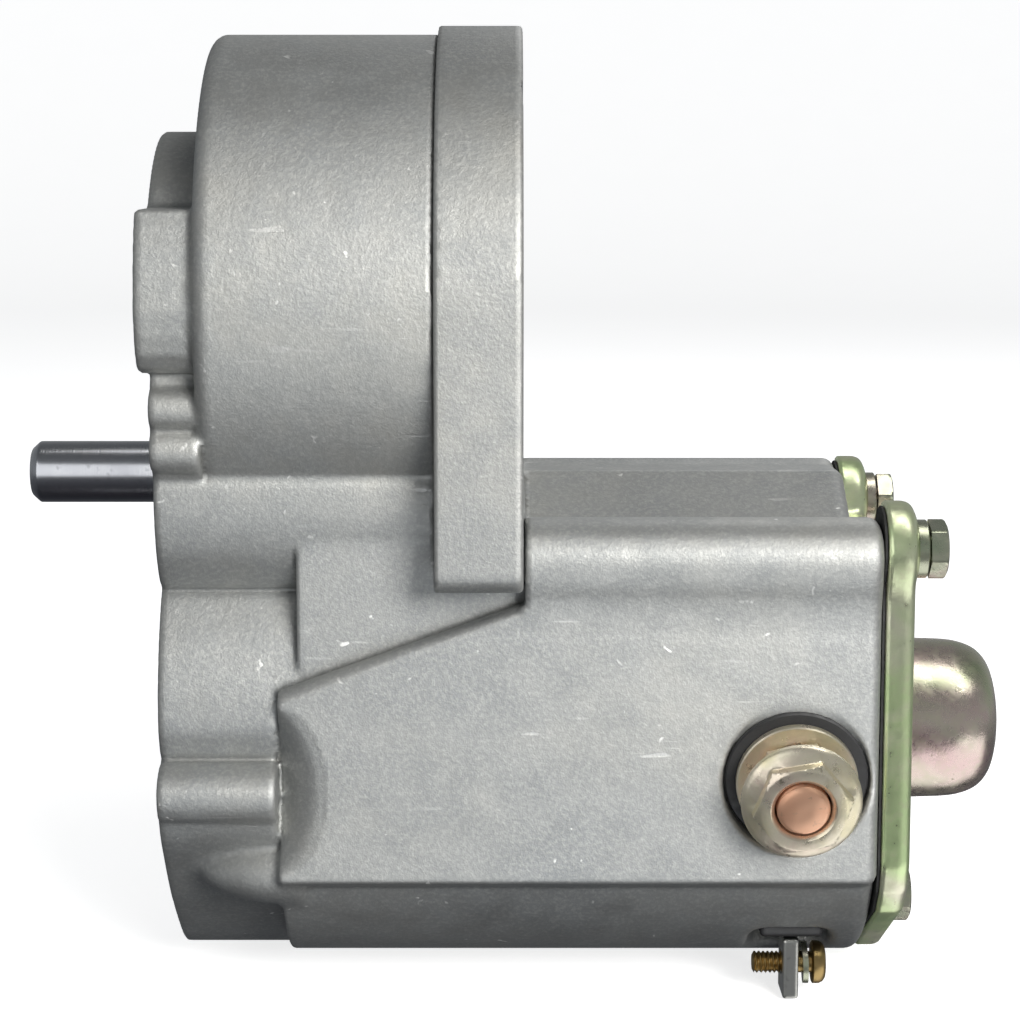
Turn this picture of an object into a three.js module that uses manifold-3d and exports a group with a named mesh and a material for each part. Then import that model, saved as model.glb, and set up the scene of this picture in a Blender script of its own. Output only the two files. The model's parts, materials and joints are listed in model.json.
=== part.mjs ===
// Geared DC motor with a solenoid switch, in millimetres.
// Frame: origin at the centre of the output shaft's end face, +X along the
// shaft into the body, +Z up, +Y across the body.
import * as THREE from 'three';
import * as BufferGeometryUtils from 'three/addons/utils/BufferGeometryUtils.js';
import Module from 'manifold-3d';

const wasm = await Module();
wasm.setup();

// ---- driving dimensions (mm) ----
const MZ = 29;            // height of the motor axis above the output shaft
const SZ = -41;           // height of the solenoid axis
const DRUM_R = 41.3;      // motor drum, outside
const DRUM_X0 = 31, DRUM_X1 = 66.6;
const HUB_R = 26, HUB_X0 = 22.3;
const FRONT_X0 = 23.9;    // lower front face
const FRONT_X1 = 43.0;    // step behind the front lobes
const PANEL_X0 = 45.3;    // flat panel under the drum starts here
const BELL_X0 = 66.9, BELL_X1 = 79.9, BELL_R = 42.7;
const BARREL_X1 = 134.3;
const BARREL_Y = 35.5;    // flat side face
const BARREL_R = 37.8;    // round underside
const BOSS_Y = 29, BOSS_Z = -8.3, BOSS_R = 6.5;
const CAV_R = 28;         // solenoid bore
const DRUM_CAV_R = 35.5, DRUM_CAV_X = 48;
const MODULE = 1, N_OUT = 44, N_PIN = 14;
const GEAR_X0 = 34.8, GEAR_X1 = 40.2;
const SHAFT_R = 5, SHAFT_X1 = 46;
const COVER_X0 = 135, COVER_X1 = 139.5;
const DOME_R = 13, DOME_X1 = 157.9;
const STUD_X = 121.6, STUD_Z = -43.2, STUD_TILT = 11 * Math.PI / 180;
const PLUNGER_TRAVEL = 8;

// ---- helpers ----
const out = new THREE.Group();
const mats = {
  cast: [0x9b9c98, 0.55, 0.9], steel: [0xb9bcc0, 0.3, 1], dark: [0x55585c, 0.5, 0.9],
  zinc: [0xb3bf8e, 0.35, 0.9], copper: [0xdf9468, 0.35, 0.9], winding: [0xa8582a, 0.4, 0.8],
  magnet: [0x3c3a3a, 0.8, 0.1], black: [0x202124, 0.6, 0.0], bronze: [0xa07b45, 0.4, 0.9],
  rubber: [0x161616, 0.8, 0.0], carbon: [0x2c2c2e, 0.7, 0.2],
};

function clean(g) {
  const c = g.index ? g.clone() : g.clone();
  c.deleteAttribute('normal'); c.deleteAttribute('uv');
  const m = BufferGeometryUtils.mergeVertices(c, 1e-4);
  const idx = m.index.array, keep = [];
  for (let i = 0; i < idx.length; i += 3) {
    const [a, b, d] = [idx[i], idx[i + 1], idx[i + 2]];
    if (a !== b && b !== d && a !== d) keep.push(a, b, d);
  }
  m.setIndex(keep);
  return m;
}
function man(g) {
  const m = clean(g);
  return new wasm.Manifold(new wasm.Mesh({
    numProp: 3,
    vertProperties: new Float32Array(m.attributes.position.array),
    triVerts: new Uint32Array(m.index.array),
  }));
}
function geo(m) {
  const k = m.getMesh();
  const g = new THREE.BufferGeometry();
  const n = k.numProp, v = k.vertProperties, p = new Float32Array(v.length / n * 3);
  for (let i = 0; i < v.length / n; i++) { p[3 * i] = v[n * i]; p[3 * i + 1] = v[n * i + 1]; p[3 * i + 2] = v[n * i + 2]; }
  g.setAttribute('position', new THREE.BufferAttribute(p, 3));
  g.setIndex(new THREE.BufferAttribute(new Uint32Array(k.triVerts), 1));
  return g;
}
function add(name, g, mat) {
  const geom = g.getMesh ? geo(g) : clean(g);
  geom.computeVertexNormals();
  const [color, roughness, metalness] = mats[mat];
  const mesh = new THREE.Mesh(geom, new THREE.MeshStandardMaterial({ color, roughness, metalness }));
  mesh.name = name;
  out.add(mesh);
  return mesh;
}
const X_FROM_UVW = new THREE.Matrix4().set(0, 0, 1, 0, 1, 0, 0, 0, 0, 1, 0, 0, 0, 0, 0, 1);
// extrude a (y, z) outline along X
function prismX(pts, x0, x1, holes = []) {
  const s = new THREE.Shape(pts.map(p => new THREE.Vector2(p[0], p[1])));
  for (const h of holes) s.holes.push(new THREE.Path(h.map(p => new THREE.Vector2(p[0], p[1]))));
  const g = new THREE.ExtrudeGeometry(s, { depth: x1 - x0, bevelEnabled: false });
  g.applyMatrix4(X_FROM_UVW); g.translate(x0, 0, 0);
  return g;
}
// extrude an (x, z) outline along Y
function prismY(pts, y0, y1) {
  const s = new THREE.Shape(pts.map(p => new THREE.Vector2(p[0], p[1])));
  const g = new THREE.ExtrudeGeometry(s, { depth: y1 - y0, bevelEnabled: false });
  g.rotateX(Math.PI / 2); g.translate(0, y1, 0);
  return g;
}
const seg = n => Math.max(8, 2 * Math.round(n * 0.33));
// revolve an [x, r] profile about X; outer surface listed with x rising
function latheX(prof, y = 0, z = 0, nominal = 32) {
  const n = seg(nominal);
  const g = new THREE.LatheGeometry(prof.map(p => new THREE.Vector2(p[1], p[0])), n);
  g.applyMatrix4(new THREE.Matrix4().set(0, 1, 0, 0, 0, 0, 1, y, 1, 0, 0, z, 0, 0, 0, 1));
  return g;
}
const cyl = (r, x0, x1, y = 0, z = 0, n = 32) => latheX([[x0, 0], [x0, r], [x1, r], [x1, 0]], y, z, n);
const ring = (ri, ro, x0, x1, y = 0, z = 0, n = 32) =>
  latheX([[x0, ri], [x0, ro], [x1, ro], [x1, ri], [x0, ri]], y, z, n);
const box = (x0, x1, y0, y1, z0, z1) => {
  const g = new THREE.BoxGeometry(x1 - x0, y1 - y0, z1 - z0);
  g.translate((x0 + x1) / 2, (y0 + y1) / 2, (z0 + z1) / 2);
  return g;
};
const circ = (cy, cz, r, n = 48) => Array.from({ length: seg(n) }, (_, i) => {
  const a = 2 * Math.PI * i / seg(n); return [cy + r * Math.cos(a), cz + r * Math.sin(a)];
});
function hull(pts) {
  const p = pts.slice().sort((a, b) => a[0] - b[0] || a[1] - b[1]);
  const cross = (o, a, b) => (a[0] - o[0]) * (b[1] - o[1]) - (a[1] - o[1]) * (b[0] - o[0]);
  const half = q => { const h = []; for (const c of q) { while (h.length > 1 && cross(h[h.length - 2], h[h.length - 1], c) <= 1e-9) h.pop(); h.push(c); } h.pop(); return h; };
  return half(p).concat(half(p.reverse()));
}
const mirror = near => near.concat(near.slice().reverse().map(([y, z]) => [-y, z]));
const union = list => list.map(g => (g.getMesh ? g : man(g))).reduce((a, b) => a.add(b));
const cut = (a, ...b) => b.reduce((m, g) => m.subtract(g.getMesh ? g : man(g)), a.getMesh ? a : man(a));

// ---- main housing: drum, hub, ears, front lobes, neck and solenoid barrel in one casting ----
const drum = cyl(DRUM_R, DRUM_X0, DRUM_X1, 0, MZ, 72);
const hub = cyl(HUB_R, HUB_X0, DRUM_X0 + 1, 0, MZ, 48);
const earBand = man(prismX([[-42, 19.3], [42, 19.3], [42, 43.5], [-42, 43.5]], HUB_X0, DRUM_X0 + 1));
const ears = earBand.intersect(man(cyl(DRUM_R - 0.6, HUB_X0, DRUM_X0 + 1, 0, MZ, 72)));
// near side of the lower front section, from the top down, mirrored to the far side
const earLobes = [
  [-30, 24], [-33, 19.6], [-34.2, 17], [-36.2, 15.6], [-36.9, 13.6], [-36.3, 11.8], [-34.7, 10.4],
  [-36, 9], [-36.4, 7], [-35.4, 4.8], [-33.2, 3.7], [-31.6, 1],
];
const sideLobes = [
  [-32.1, 3.2], [-32.6, 1.4], [-32.5, -2.4], [-31.7, -6.2], [-30.1, -10.1], [-27.4, -13.7], [-25, -15.3],
  [-26.5, -17], [-29.7, -22.6], [-31.7, -28.8], [-32.3, -32.5], [-32.2, -36.2], [-30.6, -40], [-29.6, -41.2],
];
const footLobes = [
  [-31.8, -41.6], [-34, -42.7], [-35.3, -44.1], [-35.8, -45.6], [-35.6, -47.4], [-34.7, -49.3], [-33.5, -50.2],
  [-31.4, -54], [-26.2, -60], [-22, -64.4], [-18.4, -67.6], [-12.6, -72.2], [-7, -76.2], [-3, -78.3], [-1, -78.7],
];
const frontLow = union([
  prismX(mirror(earLobes), FRONT_X0, 32.5),
  prismX(mirror(sideLobes.concat(footLobes)), FRONT_X0, FRONT_X1),
  // above the barrel the lobes run on to the flat panel
  prismX(mirror(sideLobes.filter(([, z]) => z > -31)), FRONT_X0, PANEL_X0 + 0.5),
]);
// shallow scoop in each side behind the lowest lobe
const scoop = sy => new THREE.SphereGeometry(1, 20, 12).scale(6.9, 4.6, 12.8).translate(42.4, sy * BARREL_Y, -45);
// neck under the drum, its flat panel running on below the end bell
const neckPts = mirror([[-28, 12], [-31.6, 5], [-32.1, 3.2], [-32.6, 1.4], [-32.5, -2.4], [-31.8, -5.6], [-31.4, -7.6], [-31.4, -44], [-20, -60]]);
const neck = cut(union([
  prismX(neckPts, PANEL_X0, DRUM_X1),
  prismX([[-31.4, -13.7], [-31.4, -44], [31.4, -44], [31.4, -13.7]], DRUM_X1 - 2, 80.2),
]), scoop(-1), scoop(1));
// barrel cross-section: flat sides, round underside, two screw bosses on top
function barrelPts(off = 0) {
  const p = [];
  const yb = BARREL_Y + off, r = BARREL_R + off;
  const a0 = Math.asin(Math.min(1, 18.2 / r));
  // the near boss is drawn out into a rounded rib that falls away into the flat side
  p.push([-19, -9.2 + off], [-20.5, -7.6 + off], [-22, -6 + off], [-25.5, -4.2 + off], [-29, -3.4 + off], [-32.6, -3.7 + off], [-35.4, -5.1], [-36.9, -7.2],
    [-37.3, -9.3], [-37.1, -11.4], [-36.7, -13.2], [-36.1, -15], [-35.65, -17.3], [-yb, -20.5], [-yb, SZ - 18.2]);
  for (let i = 1; i < 24; i++) {
    const a = Math.PI + a0 + (Math.PI - 2 * a0) * i / 24;
    const y = Math.max(-yb, Math.min(yb, r * Math.cos(a)));
    p.push([y, SZ + r * Math.sin(a)]);
  }
  p.push([yb, SZ - 18.2], [yb, -15], [29, -1.9 + off], [14, -1.5 + off], [2, -8.2 + off]);
  return p;
}
const barrelAll = union([
  prismX(barrelPts(), FRONT_X1 - 0.5, BARREL_X1),
  cyl(BOSS_R, FRONT_X1, BARREL_X1, BOSS_Y, BOSS_Z, 28),
]);
// the barrel's proud face starts at a sloping shoulder
const shoulder = prismY([[30, -34.27], [80.4, -16], [80.4, 20], [30, 20]], -60, 60);
const barrel = cut(barrelAll, shoulder, scoop(-1), scoop(1));
// web that closes the foot of the motor bore under the end bell
const barrelTopIn = man(prismX([[-30, -1.4], [-30, -40], [30, -40], [30, -1.4]], DRUM_X1 - 2, 80.2));
const TAPS = [[-33, 31], [33, 31], [-31, -45.6], [31, -45.6]];
const COVER_SCREWS = [[-17.5, 25], [17.5, 25], [0, -29.5]];
const BELL_SCREWS = [50, 130, -14, 194].map(a => [37.9 * Math.cos(a * Math.PI / 180), MZ + 37.9 * Math.sin(a * Math.PI / 180)]);
const CAP_SCREWS = [[-BOSS_Y, BOSS_Z], [BOSS_Y, BOSS_Z], [0, -71]];
const coverOutline = (d = 0) => union([
  prismX(hull(circ(0, 0, 26.7 + d).concat(circ(0, MZ, 22 + d))), 0, 2.6 + Math.abs(d) * 10),
  prismX(hull(circ(0, -29.5, 6.4 + d, 24).concat(circ(0, -20, 6.4 + d, 24))), 0, 2.6 + Math.abs(d) * 10),
]);
const studDir = new THREE.Vector3(0, -Math.cos(STUD_TILT), -Math.sin(STUD_TILT));
// turn a solid built along +X so that +X points out along the stud; x = 0 sits on the barrel's face
function alongStud(g) {
  const m = new THREE.Matrix4().makeBasis(studDir, new THREE.Vector3(1, 0, 0), new THREE.Vector3().crossVectors(studDir, new THREE.Vector3(1, 0, 0)));
  m.setPosition(STUD_X, -BARREL_Y, STUD_Z);
  g.applyMatrix4(m);
  return g;
}
const housing = cut(
  union([drum, hub, ears, frontLow, neck, barrel, barrelTopIn]),
  // front cover recess, gear chamber
  coverOutline(0.35).translate(22.8, 0, 0), prismX([[-60, -60], [60, -60], [60, 80], [-60, 80]], 0, HUB_X0),
  prismX(hull(circ(0, 0, 24, 48)), 24, 40.8), cyl(9.4, 24, 40.8, 0, MZ, 32),
  coverOutline(0.35).translate(20, 0, 0),
  // bearing pockets in the web
  cyl(9.65, 40, 46.3, 0, 0, 48), cyl(8.15, 40, 46.3, 0, MZ, 32), cyl(5, 40, 49, 0, MZ, 24),
  // motor bore
  cyl(DRUM_CAV_R, DRUM_CAV_X, 70, 0, MZ, 64),
  // solenoid bore
  cyl(CAV_R, 46.6, 140, 0, SZ, 56),
  // tapped holes
  ...TAPS.map(([y, z]) => cyl(2.5, 20, 37, y, z, 16)),
  ...COVER_SCREWS.map(([y, z]) => cyl(2.15, 20, 37, y, z, 16)),
  ...BELL_SCREWS.map(([y, z]) => cyl(2.2, 57, 70, y, z, 16)),
  ...CAP_SCREWS.map(([y, z]) => cyl(2.65, 122, 140, y, z, 16)),
  // recess and hole for the battery terminal, slot for the signal terminal
  alongStud(cyl(11.2, -1.9, 6, 0, 0, 32)), alongStud(cyl(7, -14, 6, 0, 0, 24)),
  box(117.2, 127.8, -23.9, -15.9, -90, -62),
);
add('main_housing', housing, 'cast');

// ---- gear chamber cover ----
add('front_cover', cut(union([coverOutline(0).translate(26, 0, 0), ring(9.6, 12.4, 28.4, 34.2, 0, 0, 40)]),
  cyl(7.4, 20, 30, 0, 0, 32), ...COVER_SCREWS.map(([y, z]) => cyl(2.3, 20, 37, y, z, 16))), 'cast');
const flatScrew = (name, y, z, x, dir, L, r, rh, hh, n = 16) => {
  // head on the -dir side of x, shank running along dir
  const p = dir > 0
    ? [[x - hh, 0], [x - hh, rh * 0.8], [x - hh * 0.55, rh], [x, rh], [x, r], [x + L, r], [x + L, 0]]
    : [[x - L, 0], [x - L, r], [x, r], [x, rh], [x + hh * 0.55, rh], [x + hh, rh * 0.8], [x + hh, 0]];
  return add(name, latheX(p, y, z, n), 'steel');
};
COVER_SCREWS.forEach(([y, z], i) => flatScrew(`front_cover_screw_${i + 1}`, y, z, 25.9, 1, 9.5, 2, 3.5, 2.0));
add('shaft_seal', ring(5.1, 7.3, 26.1, 28.3, 0, 0, 32), 'rubber');
add('output_front_bearing', ring(5.05, 9.5, 28.8, 33.8, 0, 0, 48), 'steel');
add('output_rear_bearing', ring(5.05, 9.55, 41.1, 46.1, 0, 0, 48), 'steel');

// ---- output shaft and gear ----
add('output_shaft', latheX([[0, 0], [0, 3.9], [1.3, SHAFT_R], [SHAFT_X1, SHAFT_R], [SHAFT_X1, 0]], 0, 0, 48), 'steel');
function gearPts(n, m, phase) {
  const rp = n * m / 2, ro = rp + m * 0.92, rr = rp - 1.2 * m, pitch = 2 * Math.PI / n, p = [];
  const wr = 0.66 * pitch / 2, wo = 0.24 * pitch / 2; // half-widths at root and tip
  for (let i = 0; i < n; i++) {
    const a = phase + i * pitch;
    for (const [r, w] of [[rr, -wr], [ro, -wo], [ro, wo], [rr, wr]]) p.push([r * Math.cos(a + w), r * Math.sin(a + w)]);
  }
  return p;
}
const up = Math.PI / 2;
add('output_gear', cut(prismX(gearPts(N_OUT, MODULE, up), GEAR_X0, GEAR_X1), cyl(5.1, 30, 45, 0, 0, 32),
  ...[0, 1, 2, 3, 4, 5].map(i => cyl(3.6, 30, 45, 13.2 * Math.cos(i * Math.PI / 3), 13.2 * Math.sin(i * Math.PI / 3), 16))), 'dark');
add('gear_spacer', ring(5.2, 7, 40.35, 40.95, 0, 0, 24), 'steel');

// ---- motor ----
add('armature_shaft', latheX([[33.2, 0], [33.2, 3.4], [33.8, 4], [77.6, 4], [77.6, 0]], 0, MZ, 32), 'steel');
const pin = prismX(gearPts(N_PIN, MODULE, -up + Math.PI / N_PIN), GEAR_X0, GEAR_X1);
pin.translate(0, 0, MZ);
add('motor_pinion', cut(pin, cyl(4.1, 30, 45, 0, MZ, 24)), 'dark');
const SLOTS = 12;
const slotBars = (r0, r1, w, x0, x1) => Array.from({ length: SLOTS }, (_, i) => {
  const g = box(x0, x1, r0, r1, -w / 2, w / 2);
  g.rotateX(2 * Math.PI * i / SLOTS); g.translate(0, 0, MZ);
  return g;
});
add('armature_core', cut(ring(4.1, 26, 51, 62.4, 0, MZ, 48), ...slotBars(17, 30, 4.6, 50, 64)), 'dark');
add('armature_winding', union([ring(11.5, 24.4, 48.9, 50.7, 0, MZ, 36), ring(11.5, 24.4, 62.7, 64.4, 0, MZ, 36),
  ...slotBars(17.4, 24, 4, 50, 63.5)]), 'winding');
add('commutator', cut(ring(4.1, 10.6, 64.8, 71.2, 0, MZ, 48), ...Array.from({ length: 12 }, (_, i) => {
  const g = box(64, 71.0, 9.4, 12, -0.35, 0.35); g.rotateX(2 * Math.PI * (i + 0.5) / 12); g.translate(0, 0, MZ); return g;
})), 'copper');
add('motor_front_bearing', ring(4.05, 8.05, 41.1, 46.1, 0, MZ, 36), 'steel');
add('motor_rear_bearing', ring(4.05, 8.05, 73.7, 78.7, 0, MZ, 36), 'steel');
add('flux_ring', ring(33.2, 35.2, 48.5, 66.4, 0, MZ, 60), 'dark');
const arc = (ri, ro, a0, a1, n = 10) => {
  const p = [];
  for (let i = 0; i <= n; i++) { const a = a0 + (a1 - a0) * i / n; p.push([ro * Math.cos(a), MZ + ro * Math.sin(a)]); }
  for (let i = n; i >= 0; i--) { const a = a0 + (a1 - a0) * i / n; p.push([ri * Math.cos(a), MZ + ri * Math.sin(a)]); }
  return p;
};
for (let i = 0; i < 4; i++) {
  const c = Math.PI / 4 + i * Math.PI / 2;
  add(`magnet_${i + 1}`, prismX(arc(27, 32.7, c - 0.62, c + 0.62), 50.2, 65), 'magnet');
}
// brush gear: a carrier plate with two channels, two brushes, two springs
const chan = s => cut(box(65.9, 72, -4.4, 4.4, s > 0 ? MZ + 13 : MZ - 25, s > 0 ? MZ + 25 : MZ - 13),
  box(66.1, 70.9, -3.3, 3.3, s > 0 ? MZ + 10 : MZ - 24, s > 0 ? MZ + 24 : MZ - 10));
add('brush_holder', union([ring(12.4, 27.4, 71.5, 73.0, 0, MZ, 40), chan(1), chan(-1)]), 'black');
add('brush_1', box(66.4, 70.6, -3, 3, MZ + 10.75, MZ + 18.5), 'carbon');
add('brush_2', box(66.4, 70.6, -3, 3, MZ - 18.5, MZ - 10.75), 'carbon');
function helix(x0, x1, r, wire, turns, steps, toMatrix) {
  class H extends THREE.Curve {
    getPoint(t, v = new THREE.Vector3()) {
      const a = 2 * Math.PI * turns * t;
      return v.set(x0 + wire + (x1 - x0 - 2 * wire) * t, r * Math.cos(a), r * Math.sin(a));
    }
  }
  const sec = new THREE.Shape(Array.from({ length: 6 }, (_, i) => new THREE.Vector2(wire * Math.cos(i * Math.PI / 3), wire * Math.sin(i * Math.PI / 3))));
  const g = new THREE.ExtrudeGeometry(sec, { extrudePath: new H(), steps: Math.round(turns * steps), bevelEnabled: false });
  if (toMatrix) g.applyMatrix4(toMatrix);
  return g;
}
for (const s of [1, -1]) {
  const m = new THREE.Matrix4().makeRotationY(s > 0 ? -Math.PI / 2 : Math.PI / 2);
  m.setPosition(68.5, 0, MZ + s * 18.8);
  add(s > 0 ? 'brush_spring_1' : 'brush_spring_2', helix(0, 5, 1.5, 0.25, 4, 6, m), 'steel');
}

// ---- motor end bell ----
const bellPts = (() => {
  const p = [];
  for (let i = 0; i <= 30; i++) { const a = Math.PI * i / 30; p.push([BELL_R * Math.cos(a), MZ + BELL_R * Math.sin(a)]); }
  const zb = -13.3, r = 3;
  for (let i = 0; i <= 4; i++) { const a = Math.PI + Math.PI / 2 * i / 4; p.push([-BELL_R + r + r * Math.cos(a), zb + r + r * Math.sin(a)]); }
  for (let i = 0; i <= 4; i++) { const a = 1.5 * Math.PI + Math.PI / 2 * i / 4; p.push([BELL_R - r + r * Math.cos(a), zb + r + r * Math.sin(a)]); }
  return p;
})();
const bellCut = union([
  prismX([[-BARREL_Y - 0.4, -30], [BARREL_Y + 0.4, -30], [BARREL_Y + 0.4, -8], [30, -0.8], [-30, -0.8], [-BARREL_Y - 0.4, -8]], 60, 90),
  cyl(BOSS_R + 0.5, 60, 90, -BOSS_Y, BOSS_Z, 28), cyl(BOSS_R + 0.5, 60, 90, BOSS_Y, BOSS_Z, 28)]);
add('motor_end_bell', cut(prismX(bellPts, BELL_X0, BELL_X1), cyl(28, 60, 73.3, 0, MZ, 60), cyl(8.15, 60, 79.0, 0, MZ, 32), bellCut,
  ...BELL_SCREWS.map(([y, z]) => latheX([[60, 0], [60, 2.3], [77.6, 2.3], [79.5, 4.2], [85, 4.2], [85, 0]], y, z, 16))), 'cast');
BELL_SCREWS.forEach(([y, z], i) => add(`end_bell_screw_${i + 1}`,
  latheX([[58, 0], [58, 2], [77.9, 2], [79.6, 3.7], [79.6, 0]], y, z, 16), 'steel'));

// ---- solenoid ----
add('fixed_core', latheX([[47, 0], [47, 27.6], [52, 27.6], [52, 12.6], [66, 12.6], [66, 8.5], [60, 8.5], [60, 0]], 0, SZ, 40), 'dark');
add('solenoid_bobbin', latheX([[52.4, 13.5], [52.4, 27.4], [54, 27.4], [54, 14.6], [98, 14.6], [98, 27.4], [99.6, 27.4], [99.6, 13.5], [52.4, 13.5]], 0, SZ, 40), 'black');
add('solenoid_coil', ring(14.9, 26.6, 54.3, 97.7, 0, SZ, 40), 'winding');
add('yoke_plate', ring(13.6, 27.7, 100, 103, 0, SZ, 40), 'dark');
add('plunger', latheX([[74.2, 8.5], [74.2, 13.1], [104.5, 13.1], [104.5, 4.1], [84, 4.1], [84, 8.5], [74.2, 8.5]], 0, SZ, 36), 'steel');
const spring = helix(60.3, 83.7, 6.9, 0.75, 6, 9);
spring.translate(0, 0, SZ);
add('return_spring', spring, 'steel');
add('plunger_rod', latheX([[84.3, 0], [84.3, 4], [150, 4], [150, 0]], 0, SZ, 24), 'steel');
add('contact_disc', ring(4.1, 11.2, 127.4, 129.6, 0, SZ, 32), 'copper');
add('contact_base', ring(14.4, 27.7, 106.5, 113.8, 0, SZ, 40), 'black');
const bar = s => box(114.2, 119, s > 0 ? 8 : -19.5, s > 0 ? 19.5 : -8, SZ - 5, SZ + 5);
add('motor_contact', union([bar(1), box(114.2, 119, 18, 26, SZ - 3, SZ + 3)]), 'copper');

// ---- battery terminal ----
const stud = union([alongStud(latheX([[-17, 0], [-17, 4], [10.3, 4], [11, 3.4], [11, 0]], 0, 0, 28)),
  bar(-1)]);
add('battery_stud', stud, 'copper');
add('stud_insulator', alongStud(latheX([[-6, 4.2], [-6, 6.7], [-1.7, 6.7], [-1.7, 10.8], [-0.7, 10.8], [-0.7, 4.2], [-6, 4.2]], 0, 0, 32)), 'black');
add('stud_washer', alongStud(ring(4.3, 9.3, -0.6, 0.9, 0, 0, 36)), 'zinc');
const hexPts = (af, rot = 0) => Array.from({ length: 6 }, (_, i) => {
  const a = rot + i * Math.PI / 3; return [af / Math.sqrt(3) * Math.cos(a), af / Math.sqrt(3) * Math.sin(a)];
});
add('stud_clamp_nut', cut(alongStud(prismX(hexPts(13.2, 0.175), 1.1, 6.2)), alongStud(cyl(4.15, 0, 8, 0, 0, 28))), 'zinc');
add('stud_nut', cut(union([alongStud(latheX([[6.4, 0], [6.4, 9.1], [7.6, 9.1], [8.5, 7.4], [8.5, 0]], 0, 0, 36)), alongStud(prismX(hexPts(13.2, 0.175), 8, 10.5))]),
  alongStud(latheX([[0, 0], [0, 4.15], [9.9, 4.15], [10.5, 4.75], [12, 4.75], [12, 0]], 0, 0, 28))), 'zinc');

// ---- signal terminal ----
add('signal_insulator', box(117.5, 127.5, -23.6, -16.2, -71.5, -68.4), 'black');
add('signal_terminal', cut(box(121.2, 123.7, -23.6, -16.2, -81.6, -71.8), cyl(1.95, 110, 130, -19.9, -76.6, 16)), 'steel');
add('signal_screw', latheX([[116.6, 0], [116.6, 1.75], [126.1, 1.75], [126.1, 3.4], [128.2, 3.0], [128.2, 0]], -19.9, -76.6, 16), 'bronze');
add('signal_spring_washer', ring(1.9, 3.4, 124, 125.8, -19.9, -76.6, 16), 'zinc');

// ---- zinc-plated switch cover ----
const capBody = (d = 0) => union([
  prismX([[-34.5 + d, BOSS_Z], [-34.5 + d, -57], [-33.2 + d, -61.4], [-29.6 + d, -65.6], [-6, -78.1 + d], [6, -78.1 + d], [29.6 - d, -65.6], [33.2 - d, -61.4], [34.5 - d, -57], [34.5 - d, BOSS_Z],
    [23, -9.4 - d], [14, -11.6 - d], [-14, -11.6 - d], [-23, -9.4 - d]], 0, COVER_X1 - COVER_X0),
  ...[[-BOSS_Y, BOSS_Z], [BOSS_Y, BOSS_Z], [0, -71]].map(([y, z]) => cyl(7.4 - d, 0, COVER_X1 - COVER_X0, y, z, 28)),
]);
add('switch_cover', cut(union([capBody().translate(COVER_X0, 0, 0),
  latheX([[COVER_X1 - 1, 0], [COVER_X1 - 1, 14.2], [COVER_X1 + 0.4, 14], [COVER_X1 + 1.6, DOME_R], [149.5, DOME_R], [152.4, 12.6], [154.8, 11.6], [156.5, 10], [157.3, 7.2], [DOME_X1, 2.4], [DOME_X1, 0]], 0, SZ, 40)]),
  cyl(11.4, 130, 155, 0, SZ, 32), ...CAP_SCREWS.map(([y, z]) => cyl(2.8, 130, 145, y, z, 16))), 'zinc');
add('cover_gasket', cut(union([capBody(0.8)]), cyl(27, -1, 10, 0, SZ, 48), ...CAP_SCREWS.map(([y, z]) => cyl(2.8, -2, 10, y, z, 16)),
  box(0.4, 20, -80, 80, -120, 60)).translate(COVER_X0 - 0.55, 0, 0), 'rubber');
CAP_SCREWS.forEach(([y, z], i) => {
  add(`cover_washer_${i + 1}`, ring(2.7, 4.5, 139.8, 141.5, y, z, 24), 'zinc');
  add(`cover_screw_${i + 1}`, union([cyl(2.4, 124, 142, y, z, 16), prismX(hexPts(8, 0.3).map(([a, b]) => [a + y, b + z]), 141.8, 144.6)]), 'zinc');
});

export default out;
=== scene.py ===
# Looks for the geared DC motor: fine meshes for the castings, fasteners and terminals,
# procedural materials, studio light and camera. Lengths below are in millimetres, and
# every mesh is scaled to metres when it is made.
import bpy, bmesh, json, math
import numpy as np
from mathutils import Vector, Matrix


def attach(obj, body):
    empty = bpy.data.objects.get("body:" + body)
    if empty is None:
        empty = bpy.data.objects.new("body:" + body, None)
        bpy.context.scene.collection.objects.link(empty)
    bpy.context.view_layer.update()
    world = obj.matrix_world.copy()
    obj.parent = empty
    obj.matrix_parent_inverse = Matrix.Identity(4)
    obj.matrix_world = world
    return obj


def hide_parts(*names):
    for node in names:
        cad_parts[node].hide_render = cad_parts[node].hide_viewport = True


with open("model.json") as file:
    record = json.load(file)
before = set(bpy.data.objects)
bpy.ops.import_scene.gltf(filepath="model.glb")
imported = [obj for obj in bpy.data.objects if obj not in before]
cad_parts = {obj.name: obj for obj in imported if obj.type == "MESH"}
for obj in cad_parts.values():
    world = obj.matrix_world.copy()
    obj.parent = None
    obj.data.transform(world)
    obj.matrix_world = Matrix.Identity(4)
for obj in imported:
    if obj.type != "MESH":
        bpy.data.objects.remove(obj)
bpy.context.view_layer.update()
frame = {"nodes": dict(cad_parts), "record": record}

f32 = np.float32

# ------------------------------------------------------------------ driving sizes, as in the CAD
MZ, SZ = 29.0, -41.0
STUD_X, STUD_Z, TILT, FACE_Y = 121.6, -43.2, math.radians(11), 35.5
BOSS = [(-29, -8.3), (29, -8.3)]
CAP_SCREWS = [(-29, -8.3), (29, -8.3), (0, -71)]
COVER_SCREWS = [(-17.5, 25), (17.5, 25), (0, -29.5)]
TAPS = [(-33, 31), (33, 31), (-31, -45.6), (31, -45.6)]
BELL_SCREWS = [(37.9 * math.cos(math.radians(a)), MZ + 37.9 * math.sin(math.radians(a))) for a in (50, 130, -14, 194)]

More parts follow.
